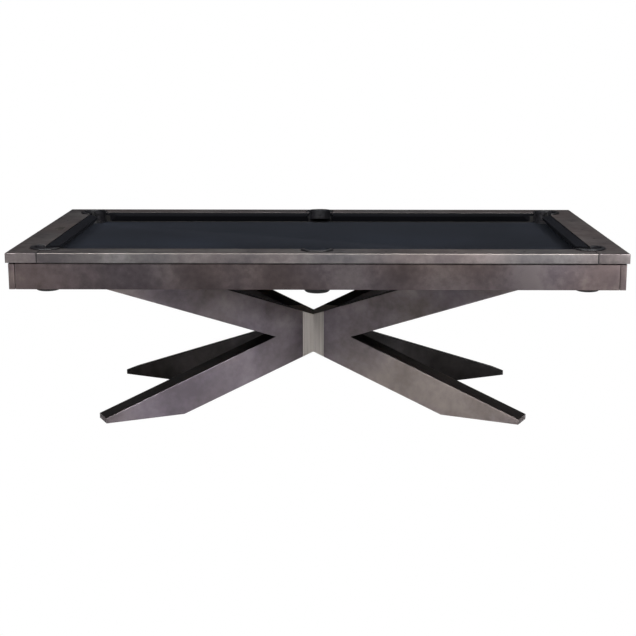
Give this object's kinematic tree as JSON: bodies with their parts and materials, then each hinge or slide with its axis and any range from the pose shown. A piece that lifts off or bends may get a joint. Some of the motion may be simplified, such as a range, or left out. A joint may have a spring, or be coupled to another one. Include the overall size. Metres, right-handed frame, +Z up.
{
  "type": "pool table",
  "caption": "Drop-pocket pool table with a steel-capped slate bed, dark cloth and cushions, on a splayed cross base of welded steel box legs with screw-down levelling feet.",
  "frame": {"origin": "on the floor under the middle of the table", "axes": "+X along the length, to the right seen from the front; +Y across, away from the front; +Z up"},
  "size_m": [2.591, 1.474, 0.811],
  "materials": {
    "patinated_steel": "steel sheet with a mottled dark warm-grey patina under clear satin lacquer",
    "brushed_steel": "brushed lengthways, unpatinated",
    "zinc_plated_steel": "zinc plated, dull",
    "laminated_wood": "laminated softwood, planed and unvarnished",
    "slate": "ground slate, matt",
    "worsted_cloth": "fine worsted billiard cloth, charcoal with a cool cast",
    "black_rubber": "moulded black rubber with a soft gloss"
  },
  "bodies": {
    "table": {"apron_front": "patinated_steel", "apron_left": "patinated_steel", "apron_rear": "patinated_steel", "apron_right": "patinated_steel", "base_hub": "brushed_steel", "bed_cloth": "worsted_cloth", "cap_front": "patinated_steel", "cap_left": "patinated_steel", "cap_rear": "patinated_steel", "cap_right": "patinated_steel", "cross_beam_far_left": "laminated_wood", "cross_beam_far_right": "laminated_wood", "cross_beam_near_left": "laminated_wood", "cross_beam_near_right": "laminated_wood", "cushion_front_left": "worsted_cloth", "cushion_front_right": "worsted_cloth", "cushion_left": "worsted_cloth", "cushion_rear_left": "worsted_cloth", "cushion_rear_right": "worsted_cloth", "cushion_right": "worsted_cloth", "frame_beam_front": "laminated_wood", "frame_beam_rear": "laminated_wood", "frame_end_left": "laminated_wood", "frame_end_right": "laminated_wood", "leg_front_left": "patinated_steel", "leg_front_right": "patinated_steel", "leg_rear_left": "patinated_steel", "leg_rear_right": "patinated_steel", "mounting_plate_front_left": "patinated_steel", "mounting_plate_front_right": "patinated_steel", "mounting_plate_rear_left": "patinated_steel", "mounting_plate_rear_right": "patinated_steel", "nameplate": "brushed_steel", "pocket_cup_front_left": "black_rubber", "pocket_cup_front_middle": "black_rubber", "pocket_cup_front_right": "black_rubber", "pocket_cup_rear_left": "black_rubber", "pocket_cup_rear_middle": "black_rubber", "pocket_cup_rear_right": "black_rubber", "pocket_rim_front_left": "black_rubber", "pocket_rim_front_middle": "black_rubber", "pocket_rim_front_right": "black_rubber", "pocket_rim_rear_left": "black_rubber", "pocket_rim_rear_middle": "black_rubber", "pocket_rim_rear_right": "black_rubber", "rail_core_front_left": "laminated_wood", "rail_core_front_right": "laminated_wood", "rail_core_left": "laminated_wood", "rail_core_rear_left": "laminated_wood", "rail_core_rear_right": "laminated_wood", "rail_core_right": "laminated_wood", "slate_left": "slate", "slate_middle": "slate", "slate_right": "slate"},
    "foot_front_left": {"levelling_foot_front_left": "zinc_plated_steel"},
    "foot_front_right": {"levelling_foot_front_right": "zinc_plated_steel"},
    "foot_rear_left": {"levelling_foot_rear_left": "zinc_plated_steel"},
    "foot_rear_right": {"levelling_foot_rear_right": "zinc_plated_steel"}
  },
  "joints": [
    {"name": "foot_slide_front_left", "type": "slide", "parent": "table", "child": "foot_front_left", "axis": [0, 0, -1], "range_m": [0, 0.012]},
    {"name": "foot_slide_front_right", "type": "slide", "parent": "table", "child": "foot_front_right", "axis": [0, 0, -1], "range_m": [0, 0.012]},
    {"name": "foot_slide_rear_left", "type": "slide", "parent": "table", "child": "foot_rear_left", "axis": [0, 0, -1], "range_m": [0, 0.012]},
    {"name": "foot_slide_rear_right", "type": "slide", "parent": "table", "child": "foot_rear_right", "axis": [0, 0, -1], "range_m": [0, 0.012]}
  ]
}
